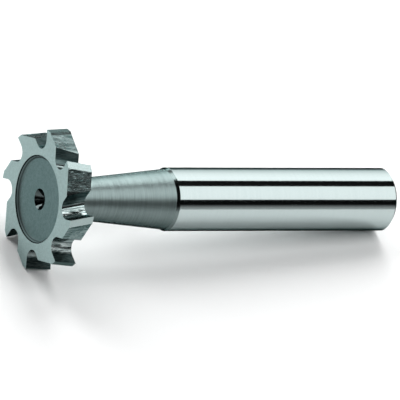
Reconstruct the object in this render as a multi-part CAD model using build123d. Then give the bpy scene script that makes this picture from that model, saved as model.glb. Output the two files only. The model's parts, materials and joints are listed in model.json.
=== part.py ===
# Keyseat cutter for half-moon keys: a straight shank, a tapered neck and a thin disc of
# staggered teeth, ground from one bar of high-speed steel.
# The cutter is drawn standing on its own axis, with the front face of the disc up at z = 0
# and the shank below it, and is then laid down as it rests on a bench: on two neighbouring
# teeth and the far edge of the shank.

from build123d import *

import os
from math import atan2, cos, degrees, radians, sin, sqrt, tan

# Driving dimensions, in millimetres and degrees
cutter_diameter = 22.5
cutter_width = 4.0
overall_length = 63.0
shank_diameter = 10.0
shank_length = 40.0
shank_end_chamfer = 0.4
shoulder_chamfer_length = 0.5
shoulder_chamfer_depth = 0.25
neck_root_diameter = 5.8
neck_fillet = 1.0

tooth_pairs = 4
stagger_angle = 10.0
rake_angle = 9.0
gash_angle = 43.0
gullet_depth = 3.25
gullet_radius = 1.6
land_width = 1.2
land_relief = 8.0
heel_width = 0.5
heel_relief = 44.0
back_relief = 37.0

side_clearance = 1.0
recess_rim = 1.1
recess_depth = 0.5
recess_wall_angle = 45.0

centre_mouth_diameter = 3.35
centre_pilot_diameter = 1.6
centre_angle = 60.0
centre_depth = 3.5
drill_point_angle = 118.0

grinding_stock = 0.3

# Worked out from the driving dimensions
tip_radius = cutter_diameter / 2
shank_radius = shank_diameter / 2
stock_radius = tip_radius + grinding_stock
tooth_count = 2 * tooth_pairs
tooth_pitch = 360 / tooth_count
root_ring_radius = tip_radius - gullet_depth
recess_radius = root_ring_radius - recess_rim


def side_hollow(radius):
    """How far a side face of the disc has been ground below its rim at this radius."""
    return (tip_radius - radius) * tan(radians(side_clearance))


def turned_blank():
    """The bar as it leaves the lathe: disc, recess, neck and shank in one revolved outline."""
    recess_floor = side_hollow(recess_radius) + recess_depth
    floor_radius = recess_radius - recess_depth * tan(radians(recess_wall_angle))
    neck_root_radius = neck_root_diameter / 2
    shank_start = overall_length - shank_length
    head_back = cutter_width - side_hollow(neck_root_radius)
    outline = Polyline(
        (0, -recess_floor),
        (floor_radius, -recess_floor),
        (recess_radius, -side_hollow(recess_radius)),
        (stock_radius, -side_hollow(stock_radius)),
        (stock_radius, -cutter_width + side_hollow(stock_radius)),
        (neck_root_radius, -head_back),
        (shank_radius - shoulder_chamfer_depth, -shank_start + shoulder_chamfer_length),
        (shank_radius, -shank_start),
        (shank_radius, -overall_length + shank_end_chamfer),
        (shank_radius - shank_end_chamfer, -overall_length),
        (0, -overall_length),
        close=True,
    )
    half_section = make_face(outline)
    neck_corner = half_section.vertices().sort_by_distance((neck_root_radius, -head_back))[0]
    half_section = fillet(neck_corner, neck_fillet)
    return revolve(Plane.XZ * half_section, Axis.Z)


def centre_hole():
    """A lathe centre's seat with its pilot hole, mouth up at the origin."""
    mouth = centre_mouth_diameter / 2
    pilot = centre_pilot_diameter / 2
    half_section = make_face(
        Polyline(
            (0, 0),
            (mouth, 0),
            (pilot, -(mouth - pilot) / tan(radians(centre_angle / 2))),
            (pilot, -centre_depth),
            (0, -centre_depth - pilot / tan(radians(drill_point_angle / 2))),
            close=True,
        )
    )
    return revolve(Plane.XZ * half_section, Axis.Z)


# Each tooth is worked out with its tip on the +X side, its gullet counterclockwise of it
# and its back clockwise of it, as seen from the front
tip = Vector(tip_radius, 0)
rake_line = Vector(1, 0).rotate(Axis.Z, rake_angle)
rake_normal = rake_line.rotate(Axis.Z, 90)
wall_line = rake_line.rotate(Axis.Z, gash_angle)
wall_normal = wall_line.rotate(Axis.Z, 90)

# The gullet's root circle touches the rake face, and comes down to the root ring
highest_centre = tip + rake_normal * gullet_radius
run = highest_centre.dot(rake_line)
reach = root_ring_radius + gullet_radius
rake_length = run - sqrt(run**2 - highest_centre.dot(highest_centre) + reach**2)
root_centre = highest_centre - rake_line * rake_length

# The narrow land ground behind the tip ends at the heel
land_line = Vector(0, -1).rotate(Axis.Z, -land_relief)
heel_start = tip + land_line * land_width


def gash_section():
    """What the gashing wheel takes out in front of a tooth: rake face, round root, wall."""
    rake_foot = root_centre - rake_normal * gullet_radius
    root_low = root_centre - root_centre.normalized() * gullet_radius
    wall_foot = root_centre + wall_normal * gullet_radius
    rake_out = rake_foot + rake_line * tip_radius
    wall_out = wall_foot + wall_line * tip_radius
    return make_face(
        [
            Line(rake_out, rake_foot),
            ThreePointArc(rake_foot, root_low, wall_foot),
            Line(wall_foot, wall_out),
            Line(wall_out, rake_out),
        ]
    )


def back_section():
    """What is ground off behind a tip: the narrow land, a steeper heel and the long back."""
    clear_radius = 2 * tip_radius
    heel_line = Vector(0, -1).rotate(Axis.Z, -heel_relief)
    back_line = Vector(0, -1).rotate(Axis.Z, -back_relief)
    heel_end = heel_start + heel_line * heel_width
    # The back runs out over the root of the gullet behind it
    gullet_behind = root_centre.normalized().rotate(Axis.Z, -tooth_pitch) * clear_radius
    back_end = IntersectingLine(heel_end, back_line, Line((0, 0), gullet_behind)) @ 1
    lead_in = tip - land_line * land_width
    return make_face(
        Polyline(
            lead_in,
            heel_start,
            heel_end,
            back_end,
            gullet_behind,
            lead_in.normalized() * clear_radius,
            close=True,
        )
    )


def swung_bar(section, hand):
    """A straight bar of that section through the disc, swung off the axis to one side."""
    swing = Vector(0, hand * tan(radians(stagger_angle)), 1)
    start = Vector(0, 0, -cutter_width / 2) - swing * cutter_width
    return extrude(Pos(start) * section, 2 * cutter_width * swing.length, swing)


def toothed_cutter():
    """The finished cutter, with every second tooth swung the other way."""
    waste = []
    for tooth in range(tooth_count):
        hand = 1 if tooth % 2 else -1
        place = Rot(0, 0, (tooth + 0.5) * tooth_pitch)
        waste.append(place * swung_bar(gash_section(), hand))
        waste.append(place * swung_bar(back_section(), hand))
    front_centre = Pos(0, 0, -side_hollow(recess_radius) - recess_depth) * centre_hole()
    rear_centre = Pos(0, 0, -overall_length) * Rot(180, 0, 0) * centre_hole()
    return turned_blank() - waste - front_centre - rear_centre


def laid_down(cutter):
    """Lie the cutter along +X with its disc at -X, on the floor and centred over the origin."""
    # At the back of the disc it stands on the heel of one tooth and the tip of the next
    swing = Vector(0, cutter_width / 2 * tan(radians(stagger_angle)))
    low_heel = (heel_start + swing).rotate(Axis.Z, tooth_pitch / 2)
    low_tip = (tip - swing).rotate(Axis.Z, -tooth_pitch / 2)
    down = (low_heel - low_tip).rotate(Axis.Z, -90).normalized()
    turned = Rot(0, 0, -degrees(atan2(down.Y, down.X))) * cutter
    # The shank dips until the edge of its far end touches the floor too
    footing_to_edge = overall_length - shank_end_chamfer - cutter_width
    tilt = atan2(down.dot(low_tip) - shank_radius, footing_to_edge)
    bench = Plane(
        origin=(0, 0, 0),
        x_dir=(-sin(tilt), 0, -cos(tilt)),
        z_dir=(-cos(tilt), 0, sin(tilt)),
    )
    lying = bench.location * turned
    box = lying.bounding_box()
    return Pos(-box.center().X, -box.center().Y, -box.min.Z) * lying


os.makedirs("parts", exist_ok=True)
export_step(laid_down(toothed_cutter()), "parts/keyseat_cutter.step")
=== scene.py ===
# A woodruff keyseat cutter, lying on a pale floor as it comes to rest: a ground shank, a turned
# neck and a thin disc of staggered teeth, all of one bar of high-speed steel.
# The bar's shape comes from the frame, and this script gives each zone of it the finish that
# the lathe, the grinding wheel or the hardening furnace left on it. Shade is painted into the
# centre holes, the gullets and two lines on the recess's wall.

import json
from math import atan2, cos, pi, radians, sin, tan

import bmesh
import bpy
from mathutils import Matrix, Vector

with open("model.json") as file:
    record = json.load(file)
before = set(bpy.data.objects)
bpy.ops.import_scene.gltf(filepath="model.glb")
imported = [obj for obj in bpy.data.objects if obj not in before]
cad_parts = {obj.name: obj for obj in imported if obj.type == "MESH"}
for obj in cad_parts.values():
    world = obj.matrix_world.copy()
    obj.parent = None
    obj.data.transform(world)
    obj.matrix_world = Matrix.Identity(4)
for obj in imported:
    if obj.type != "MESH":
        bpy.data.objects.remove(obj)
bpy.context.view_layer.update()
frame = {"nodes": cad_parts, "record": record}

# The bar. It is turned and ground between centres, so each finish on it is laid out along and
# around one axis. Tool coordinates are in millimetres: X runs from the middle of the front face
# to the shank's far end, and Y and Z lie across it.
mm_per_metre = 1000
shank_start = 23.0
shank_mount = [mount for mount in frame["record"]["mounts"] if mount["name"] == "shank"][0]
tool_axis = Vector(shank_mount["axis"]).normalized()
grip_middle = shank_start + shank_mount["dims"]["length_mm"] / 2
front_centre = Vector(shank_mount["pos_m"]) - tool_axis * grip_middle / mm_per_metre
tool_tilt = atan2(-tool_axis.z, tool_axis.x)
along_axis = (1.0, 0.0, 0.0)
across_axis = (0.0, 1.0, 1.0)

steel = bpy.data.materials.new("high_speed_steel")
steel.use_nodes = True
steel_tree = steel.node_tree
steel_tree.nodes.clear()


def place(tree, kind, inputs=None, **settings):
    """A new shader node. inputs gives each input a value, or the socket that feeds it."""
    node = tree.nodes.new(kind)
    for name, value in settings.items():
        setattr(node, name, value)
    for name, value in (inputs or {}).items():
        if isinstance(value, bpy.types.NodeSocket):
            tree.links.new(value, node.inputs[name])
        else:
            node.inputs[name].default_value = value
    return node


def point(tree, operation, *values):
    """The result of one sum on points or directions."""
    node = place(tree, "ShaderNodeVectorMath", dict(enumerate(values)), operation=operation)
    return node.outputs["Value" if operation in ("LENGTH", "DOT_PRODUCT") else "Vector"]


def tilted(direction, angle):
    """A direction turned about the Y axis, the one about which the shank dips to the floor."""
    inputs = {"Vector": direction, "Angle": angle}
    node = place(steel_tree, "ShaderNodeVectorRotate", inputs, rotation_type="Y_AXIS")
    return node.outputs["Vector"]


def new_group(name, inputs, outputs):
    """An empty shader node group. inputs and outputs give each socket's name and kind."""
    group = bpy.data.node_groups.new(name, "ShaderNodeTree")
    kinds = {"vector": "NodeSocketVector", "value": "NodeSocketFloat"}
    for in_out, sockets in (("INPUT", inputs), ("OUTPUT", outputs)):
        for socket_name, kind in sockets.items():
            group.interface.new_socket(socket_name, in_out=in_out, socket_type=kinds[kind])
    given = group.nodes.new("NodeGroupInput").outputs
    made = group.nodes.new("NodeGroupOutput").inputs
    return group, given, made


def put_out(group, made, results):
    """Give each result to the group's output of that name."""
    for name, result in results.items():
        group.links.new(result, made[name])


def make_lay_group():
    """Where a point of the tool lies, and how much it faces along, out from and around the axis."""
    group, given, made = new_group(
        "tool lay",
        {"Place": "vector", "Facing": "vector"},
        {
            "Along": "value",
            "Radius": "value",
            "Outward": "vector",
            "Axial": "value",
            "Radial": "value",
            "Turning": "value",
        },
    )
    across = point(group, "MULTIPLY", given["Place"], across_axis)
    outward = point(group, "NORMALIZE", across)
    around = point(group, "CROSS_PRODUCT", outward, along_axis)
    results = {
        "Along": point(group, "DOT_PRODUCT", given["Place"], along_axis),
        "Radius": point(group, "LENGTH", across),
        "Outward": outward,
        "Axial": point(group, "DOT_PRODUCT", given["Facing"], along_axis),
        "Radial": point(group, "DOT_PRODUCT", given["Facing"], outward),
        "Turning": point(group, "DOT_PRODUCT", given["Facing"], around),
    }
    put_out(group, made, results)
    return group


object_place = place(steel_tree, "ShaderNodeTexCoord").outputs
tool_place = place(
    steel_tree,
    "ShaderNodeMapping",
    {
        "Vector": object_place["Object"],
        "Location": front_centre,
        "Rotation": (0.0, tool_tilt, 0.0),
        "Scale": (1 / mm_per_metre,) * 3,
    },
    vector_type="TEXTURE",
).outputs["Vector"]
tool_facing = tilted(object_place["Normal"], -tool_tilt)
lay = place(
    steel_tree,
    "ShaderNodeGroup",
    {"Place": tool_place, "Facing": tool_facing},
    node_tree=make_lay_group(),
)
along = lay.outputs["Along"]
radius = lay.outputs["Radius"]
outward = lay.outputs["Outward"]
axial = lay.outputs["Axial"]
radial = lay.outputs["Radial"]
turning = lay.outputs["Turning"]

# The shank. It is ground all over to fit its collet, after hardening, so it is bright and
# mirrors the room, with only the faintest rings left by the wheel.
shank_fade = (shank_start - 0.06, shank_start + 0.02)
shank_dark = (0.438, 0.507, 0.504)
shank_light = (0.45, 0.519, 0.516)
around_the_bar = (1.0, 0.03, 0.03)


def calc(tree, operation, *values):
    """The result of one sum on numbers or sockets."""
    node = place(tree, "ShaderNodeMath", dict(enumerate(values)), operation=operation)
    return node.outputs[0]


def stretched(tree, vector, factor):
    """A point or direction, made longer or shorter by a factor."""
    node = place(tree, "ShaderNodeVectorMath", {0: vector, "Scale": factor}, operation="SCALE")
    return node.outputs["Vector"]


def ramp(tree, value, fade):
    """A mask that rises smoothly from 0 at the start of the fade to 1 at its end."""
    limits = {"Value": value, "From Min": fade[0], "From Max": fade[1]}
    node = place(tree, "ShaderNodeMapRange", limits, interpolation_type="SMOOTHSTEP")
    return node.outputs["Result"]


def make_marks_group():
    """Fine marks of a wheel or a lathe tool, drawn out along the cut by the squeeze."""
    noise_middle = 0.5
    noise_gain = 4.0
    broad_lines_per_fine = 0.37
    broad_share = 0.4
    shade_fade = (0.38, 0.62)
    group, given, made = new_group(
        "tool marks",
        {
            "Place": "vector",
            "Squeeze": "vector",
            "Across": "vector",
            "Lines per mm": "value",
            "Waviness": "value",
            "Slope": "value",
        },
        {"Lean": "vector", "Shade": "value"},
    )
    wander = place(group, "ShaderNodeTexNoise", {"Vector": given["Place"], "Scale": 1.1, "Detail": 1.0})
    sway = point(group, "SUBTRACT", wander.outputs["Color"], (noise_middle,) * 3)
    moved = point(
        group,
        "ADD",
        point(group, "MULTIPLY", given["Place"], given["Squeeze"]),
        stretched(group, sway, given["Waviness"]),
    )
    lines = {"Vector": moved, "Scale": given["Lines per mm"], "Detail": 2.0, "Roughness": 0.6}
    fine = place(group, "ShaderNodeTexNoise", lines).outputs[0]
    lines["Scale"] = calc(group, "MULTIPLY", given["Lines per mm"], broad_lines_per_fine)
    broad = place(group, "ShaderNodeTexNoise", lines).outputs[0]
    push = calc(group, "MULTIPLY", calc(group, "SUBTRACT", fine, noise_middle), noise_gain)
    mixed = calc(
        group,
        "ADD",
        calc(group, "MULTIPLY", fine, 1 - broad_share),
        calc(group, "MULTIPLY", broad, broad_share),
    )
    results = {
        "Lean": stretched(group, given["Across"], calc(group, "MULTIPLY", push, given["Slope"])),
        "Shade": ramp(group, mixed, shade_fade),
    }
    put_out(group, made, results)
    return group


marks_group = make_marks_group()


def marks(across, lines, slope, squeeze=(1.0, 1.0, 1.0), waviness=0.0, spot=tool_place):
    """Marks on the steel: how they make it lean across the cut, and a shade to colour them by."""
    inputs = {
        "Place": spot,
        "Squeeze": squeeze,
        "Across": across,
        "Lines per mm": lines,
        "Waviness": waviness,
        "Slope": slope,
    }
    node = place(steel_tree, "ShaderNodeGroup", inputs, node_tree=marks_group)
    return node.outputs["Lean"], node.outputs["Shade"]


def laid_over(kind, mask, under, over):
    """The value under, replaced by the value over where the mask is 1."""
    # The Mix node has its own pair of inputs and its own output for each kind of value
    first_input, output = {"FLOAT": (2, 0), "VECTOR": (4, 1), "RGBA": (6, 2)}[kind]
    inputs = {"Factor": mask, first_input: under, first_input + 1: over}
    return place(steel_tree, "ShaderNodeMix", inputs, data_type=kind).outputs[output]


def paint(mask, under, over):
    """The colour under, with the colour over laid on it where the mask is 1."""
    pair = [tone if isinstance(tone, bpy.types.NodeSocket) else (*tone, 1.0) for tone in (under, over)]
    return laid_over("RGBA", mask, *pair)


shank_rings, shank_shade = marks(along_axis, lines=6.0, slope=0.004, squeeze=around_the_bar)
is_shank = ramp(steel_tree, along, shank_fade)
colour = paint(shank_shade, shank_dark, shank_light)
roughness = 0.09
lean = shank_rings

# The shank's end. Its face is turned flat before hardening and left so, a little duller than
# the ground length, with the lathe tool's rings around the centre hole.
overall_length = 63.0
end_fade = (overall_length - 0.3, overall_length - 0.2)
flat_facing = (0.9, 0.96)
end_dark = (0.36, 0.43, 0.425)
end_light = (0.42, 0.49, 0.485)


def both(*masks):
    """A mask that is 1 only where all of these are."""
    result = masks[0]
    for mask in masks[1:]:
        result = calc(steel_tree, "MULTIPLY", result, mask)
    return result


def level(mask, under, over):
    """The number under, replaced by the number over where the mask is 1."""
    return laid_over("FLOAT", mask, under, over)


def lean_towards(mask, under, over):
    """The lean under, replaced by the lean over where the mask is 1."""
    return laid_over("VECTOR", mask, under, over)


ring_place = place(steel_tree, "ShaderNodeCombineXYZ", {"X": radius}).outputs["Vector"]
end_rings, end_shade = marks(outward, lines=3.5, slope=0.05, spot=ring_place)
is_face = ramp(steel_tree, calc(steel_tree, "ABSOLUTE", axial), flat_facing)
is_end = both(ramp(steel_tree, along, end_fade), is_face)
colour = paint(is_end, colour, paint(end_shade, end_dark, end_light))
roughness = level(is_end, roughness, 0.3)
lean = lean_towards(is_end, lean, end_rings)

# The neck. A plain taper, turned before hardening and never ground, so it keeps the fine rings
# of the lathe tool and a satin dark grey skin. It starts at the back of the disc.
cutter_width = 4.0
neck_fade = (cutter_width - 0.15, cutter_width)
neck_dark = (0.148, 0.19, 0.187)
neck_light = (0.172, 0.218, 0.215)


def outside(mask):
    """A mask that is 1 where this one is 0."""
    return calc(steel_tree, "SUBTRACT", 1.0, mask)


neck_rings, neck_shade = marks(along_axis, lines=6.0, slope=0.14, squeeze=around_the_bar)
is_neck = both(ramp(steel_tree, along, neck_fade), outside(is_shank))
colour = paint(is_neck, colour, paint(neck_shade, neck_dark, neck_light))
roughness = level(is_neck, roughness, 0.37)
lean = lean_towards(is_neck, lean, neck_rings)

# The shoulder. A small chamfer, turned with the neck and smoother than it, leads up to the
# shank. Its top catches the lamp at the left, and the rest of it mirrors the dark room.
chamfer_start = shank_start - 0.5
chamfer_fade = (chamfer_start - 0.05, chamfer_start)
chamfer_colour = (0.15, 0.188, 0.185)
unmarked = (0.0, 0.0, 0.0)
is_chamfer = both(ramp(steel_tree, along, chamfer_fade), outside(is_shank))
colour = paint(is_chamfer, colour, chamfer_colour)
roughness = level(is_chamfer, roughness, 0.16)
lean = lean_towards(is_chamfer, lean, unmarked)

# The disc's side faces. Both are ground a little hollow, with a fine even grain, and stay
# plain grey beside the polished edges of the teeth.
disc_fade = (cutter_width - 0.02, cutter_width + 0.1)
side_dark = (0.343, 0.45, 0.445)
side_light = (0.409, 0.526, 0.521)
side_grain, side_shade = marks(outward, lines=5.0, slope=0.03)
is_disc = outside(ramp(steel_tree, along, disc_fade))
is_side = both(is_face, is_disc)
colour = paint(is_side, colour, paint(side_shade, side_dark, side_light))
roughness = level(is_side, roughness, 0.42)
lean = lean_towards(is_side, lean, side_grain)

# The recess in the front face. It is turned and left as the furnace made it, so it is darker
# than the ground rim. Painted shade lies as a near-black line along the lip of its wall, with a
# fainter line of painted shade low on the wall.
recess_radius = 6.9
rim_fade = (recess_radius - 0.03, recess_radius + 0.01)
depth_fade = (0.8, 1.0)
lip_shade_fade = (recess_radius - 0.2, recess_radius - 0.12)
shade_line_radius = recess_radius - 0.37
shade_line_fade = (0.02, 0.1)
recess_dark = (0.136, 0.202, 0.202)
recess_light = (0.18, 0.25, 0.25)
wall_colour = (0.14, 0.187, 0.187)
# The two lines on the wall are painted shade: a fainter one low on the wall, a near-black lip.
shade_line_colour = (0.055, 0.078, 0.078)
lip_shade_colour = (0.012, 0.018, 0.018)
recess_roughness = 0.42
wall_roughness = 0.65
recess_grain, recess_shade = marks(outward, lines=4.0, slope=0.04)
is_recess = both(
    outside(ramp(steel_tree, radius, rim_fade)),
    outside(ramp(steel_tree, along, depth_fade)),
)
is_recess_wall = both(is_recess, outside(is_face))
is_lip_shade = ramp(steel_tree, radius, lip_shade_fade)
past_shade_line = calc(steel_tree, "SUBTRACT", radius, shade_line_radius)
is_off_shade_line = ramp(steel_tree, calc(steel_tree, "ABSOLUTE", past_shade_line), shade_line_fade)
wall_tone_and_shade = paint(is_off_shade_line, shade_line_colour, wall_colour)
wall_tone_and_shade = paint(is_lip_shade, wall_tone_and_shade, lip_shade_colour)
colour = paint(is_recess, colour, paint(recess_shade, recess_dark, recess_light))
colour = paint(is_recess_wall, colour, wall_tone_and_shade)
recess_finish = level(is_recess_wall, recess_roughness, wall_roughness)
roughness = level(is_recess, roughness, recess_finish)
lean = lean_towards(is_recess, lean, recess_grain)

# The centre holes. Drilled for the lathe's centres at both ends of the bar and never ground.
# Their steel is painted near black, as the shade deep inside them.
hole_radius = 1.66
hole_fade = (hole_radius, hole_radius + 0.03)
# Painted shade: the holes' steel is near black.
hole_shade_colour = (0.07, 0.087, 0.087)
is_hole = both(outside(ramp(steel_tree, radius, hole_fade)), outside(is_face))
colour = paint(is_hole, colour, hole_shade_colour)
roughness = level(is_hole, roughness, 0.1)
lean = lean_towards(is_hole, lean, unmarked)

# The gullets. The gashing wheel leaves streaks along them. The foot of each cutting face, where
# it curves into the round root, keeps a streaky steel grey, and the other walls are painted
# near black, as the shade deep in the gullets.
tooth_foot_fade = (7.2, 7.4)
root_facing = (0.2, 0.5)
root_top_fade = (8.8, 9.7)
along_the_tooth = (0.12, 1.0, 1.0)
# Painted shade: the gullet walls are near black.
shaded_gullet_dark = (0.026, 0.045, 0.045)
shaded_gullet_light = (0.1, 0.138, 0.136)
root_dark = (0.08, 0.11, 0.108)
root_light = (0.37, 0.425, 0.42)
gullet_roughness = 0.38
root_roughness = 0.24
across_the_tooth = point(steel_tree, "CROSS_PRODUCT", along_axis, tool_facing)
gullet_streaks, gullet_shade = marks(
    across_the_tooth,
    lines=5.0,
    slope=0.16,
    squeeze=along_the_tooth,
    waviness=0.12,
)
is_tooth = both(ramp(steel_tree, radius, tooth_foot_fade), is_disc, outside(is_face))
is_root = both(
    ramp(steel_tree, turning, root_facing),
    outside(ramp(steel_tree, radius, root_top_fade)),
)
shaded_gullet_paint = paint(gullet_shade, shaded_gullet_dark, shaded_gullet_light)
root_paint = paint(gullet_shade, root_dark, root_light)
colour = paint(is_tooth, colour, paint(is_root, shaded_gullet_paint, root_paint))
roughness = level(is_tooth, roughness, level(is_root, gullet_roughness, root_roughness))
lean = lean_towards(is_tooth, lean, gullet_streaks)

# The teeth's backs. They are milled, and the wavy ridges that this leaves run from one side face
# to the other, over the long back and over the short heel behind the land.
back_foot_fade = (8.6, 9.0)
back_facing = (0.6, 0.7)
back_dark = (0.075, 0.12, 0.118)
back_light = (0.36, 0.46, 0.455)
back_ridges, back_shade = marks(
    across_the_tooth,
    lines=4.5,
    slope=0.2,
    squeeze=along_the_tooth,
    waviness=0.5,
)
is_back = both(
    is_tooth,
    ramp(steel_tree, radial, back_facing),
    ramp(steel_tree, radius, back_foot_fade),
)
colour = paint(is_back, colour, paint(back_shade, back_dark, back_light))
roughness = level(is_back, roughness, 0.26)
lean = lean_towards(is_back, lean, back_ridges)

# The lands. The narrow strip behind each cutting edge is ground last, and is the brightest
# part of the tooth, with only a trace of streaks in it.
land_facing = (0.96, 0.975)
land_colour = (0.31, 0.38, 0.375)
streaks_left = 0.15
is_land = both(is_tooth, ramp(steel_tree, radial, land_facing))
colour = paint(is_land, colour, land_colour)
roughness = level(is_land, roughness, 0.16)
lean = lean_towards(is_land, lean, stretched(steel_tree, gullet_streaks, streaks_left))

# The finished steel. The tool is one solid, so a single material carries the finishes of all
# its zones, and the shade painted into its centre holes, gullets and recess wall. A black
# specular tint keeps the steel from turning white where it is seen edge-on.
leaning = tilted(point(steel_tree, "ADD", tool_facing, lean), tool_tilt)
steel_shader = place(
    steel_tree,
    "ShaderNodeBsdfPrincipled",
    {
        "Base Color": colour,
        "Metallic": 1.0,
        "Roughness": roughness,
        "Normal": point(steel_tree, "NORMALIZE", leaning),
        "Specular Tint": (0.0, 0.0, 0.0, 1.0),
    },
)
place(steel_tree, "ShaderNodeOutputMaterial", {"Surface": steel_shader.outputs["BSDF"]})
frame["nodes"]["keyseat_cutter"].material_slots[0].material = steel

# The floor. A wide sheet of white card, matt, that the tool lies on. It is staged, because it
# is no part of the tool.
floor_reach = 1.2
card_colour = (0.96, 0.965, 0.965)
floor_mesh = bpy.data.meshes.new("floor")
floor_form = bmesh.new()
bmesh.ops.create_grid(floor_form, x_segments=1, y_segments=1, size=floor_reach)
floor_form.to_mesh(floor_mesh)
floor_form.free()
floor = bpy.data.objects.new("floor", floor_mesh)
bpy.context.scene.collection.objects.link(floor)
card = bpy.data.materials.new("white_card")
card.use_nodes = True
card_inputs = card.node_tree.nodes["Principled BSDF"].inputs
card_inputs["Base Color"].default_value = (*card_colour, 1.0)
card_inputs["Roughness"].default_value = 0.9
card_inputs["Specular IOR Level"].default_value = 0.1
floor.data.materials.append(card)

# The lamps. Rows of soft boxes lie parallel to the tool on its far and near sides, with a dark
# slot between the rows and another below the near one; the shank mirrors the plain pair, and
# the satin neck the brighter pair. Two more light the disc from the left and the front. Each is
# given by the angles in degrees at which the tool sees its two edges, turned about the tool's
# axis from the side that faces the camera, and by how far along the axis its ends lie from the
# front face, in metres.
camera_lift = radians(40.02)
level_side = Vector((0.0, -1.0, 0.0))
tool_up = Vector((-tool_axis.z, 0.0, tool_axis.x))
near_side = cos(camera_lift) * level_side + sin(camera_lift) * tool_up
top_side = -sin(camera_lift) * level_side + cos(camera_lift) * tool_up
lamp_distance = 1.0
neck_boxes_start = 0.10
shank_boxes_start = 0.49


def soft_box(name, angles, ends, brightness):
    """A long lamp beside the tool, between two angles about its axis. A brightness of 1 is white."""
    middle = radians((angles[0] + angles[1]) / 2)
    width = 2 * lamp_distance * tan(radians((angles[1] - angles[0]) / 2))
    length = ends[1] - ends[0]
    lamp = bpy.data.lights.new(name, "AREA")
    lamp.shape = "RECTANGLE"
    lamp.size = length
    lamp.size_y = width
    lamp.energy = brightness * pi * length * width
    away = cos(middle) * near_side + sin(middle) * top_side
    turn = Matrix((tool_axis, away.cross(tool_axis), away)).transposed().to_4x4()
    spot = front_centre + away * lamp_distance + tool_axis * (ends[0] + ends[1]) / 2
    holder = bpy.data.objects.new(name, lamp)
    holder.matrix_world = Matrix.Translation(spot) @ turn
    holder.visible_camera = False
    bpy.context.scene.collection.objects.link(holder)


soft_box("far_shank_box", angles=(71, 134), ends=(shank_boxes_start, 0.92), brightness=1.89)
soft_box("far_neck_box", angles=(64, 134), ends=(neck_boxes_start, shank_boxes_start), brightness=5.5)
soft_box("near_shank_box", angles=(-1.5, 47.5), ends=(shank_boxes_start, 1.3), brightness=1.61)
soft_box("near_neck_box", angles=(0.5, 50.5), ends=(neck_boxes_start, shank_boxes_start), brightness=3.5)
soft_box("left_disc_box", angles=(74, 136), ends=(-0.62, -0.04), brightness=3.9)
soft_box("front_disc_box", angles=(-1.5, 47.5), ends=(-1.3, -0.66), brightness=1.3)

# The room. Dark overhead, and paler towards the horizon, where the walls catch the light. The
# height of their glow is in degrees above the horizon.
glow_height = 14.5
overhead_glow = 0.003
horizon_glow = 0.62
world = bpy.data.worlds.new("studio")
world.use_nodes = True
bpy.context.scene.world = world
room = world.node_tree
room_place = place(room, "ShaderNodeTexCoord").outputs["Generated"]
height = place(room, "ShaderNodeSeparateXYZ", {0: room_place}).outputs["Z"]
glow = place(
    room,
    "ShaderNodeMapRange",
    {
        "Value": height,
        "From Min": sin(radians(glow_height)),
        "From Max": 0.0,
        "To Min": overhead_glow,
        "To Max": horizon_glow,
    },
).outputs["Result"]
room.links.new(glow, room.nodes["Background"].inputs["Color"])

# The camera. A long lens, far off, so that the tool is drawn almost without perspective. It
# looks at the tool from beside the front face, rolled so that the tool lies nearly level. The
# focal length is in pixels of a picture 400 pixels wide, and the rest in metres.
view_angle = radians(59.38)
picture_size = 400
lens_pixels = 8000
camera_distance = 1.240
sight_right = 0.02535
sight_up = -0.00012
right = sin(view_angle) * tool_axis + cos(view_angle) * near_side
depth = cos(view_angle) * tool_axis - sin(view_angle) * near_side
camera = bpy.data.cameras.new("camera")
camera.sensor_width = 36.0
camera.lens = camera.sensor_width * lens_pixels / picture_size
camera.clip_end = 20.0
camera_turn = Matrix((right, top_side, -depth)).transposed().to_4x4()
camera_spot = front_centre + right * sight_right + top_side * sight_up - depth * camera_distance
camera_holder = bpy.data.objects.new("camera", camera)
camera_holder.matrix_world = Matrix.Translation(camera_spot) @ camera_turn
bpy.context.scene.collection.objects.link(camera_holder)
bpy.context.scene.camera = camera_holder

# The picture. It shows the tones as they are lit, with nothing added to light or colour.
bpy.context.scene.view_settings.view_transform = "Standard"
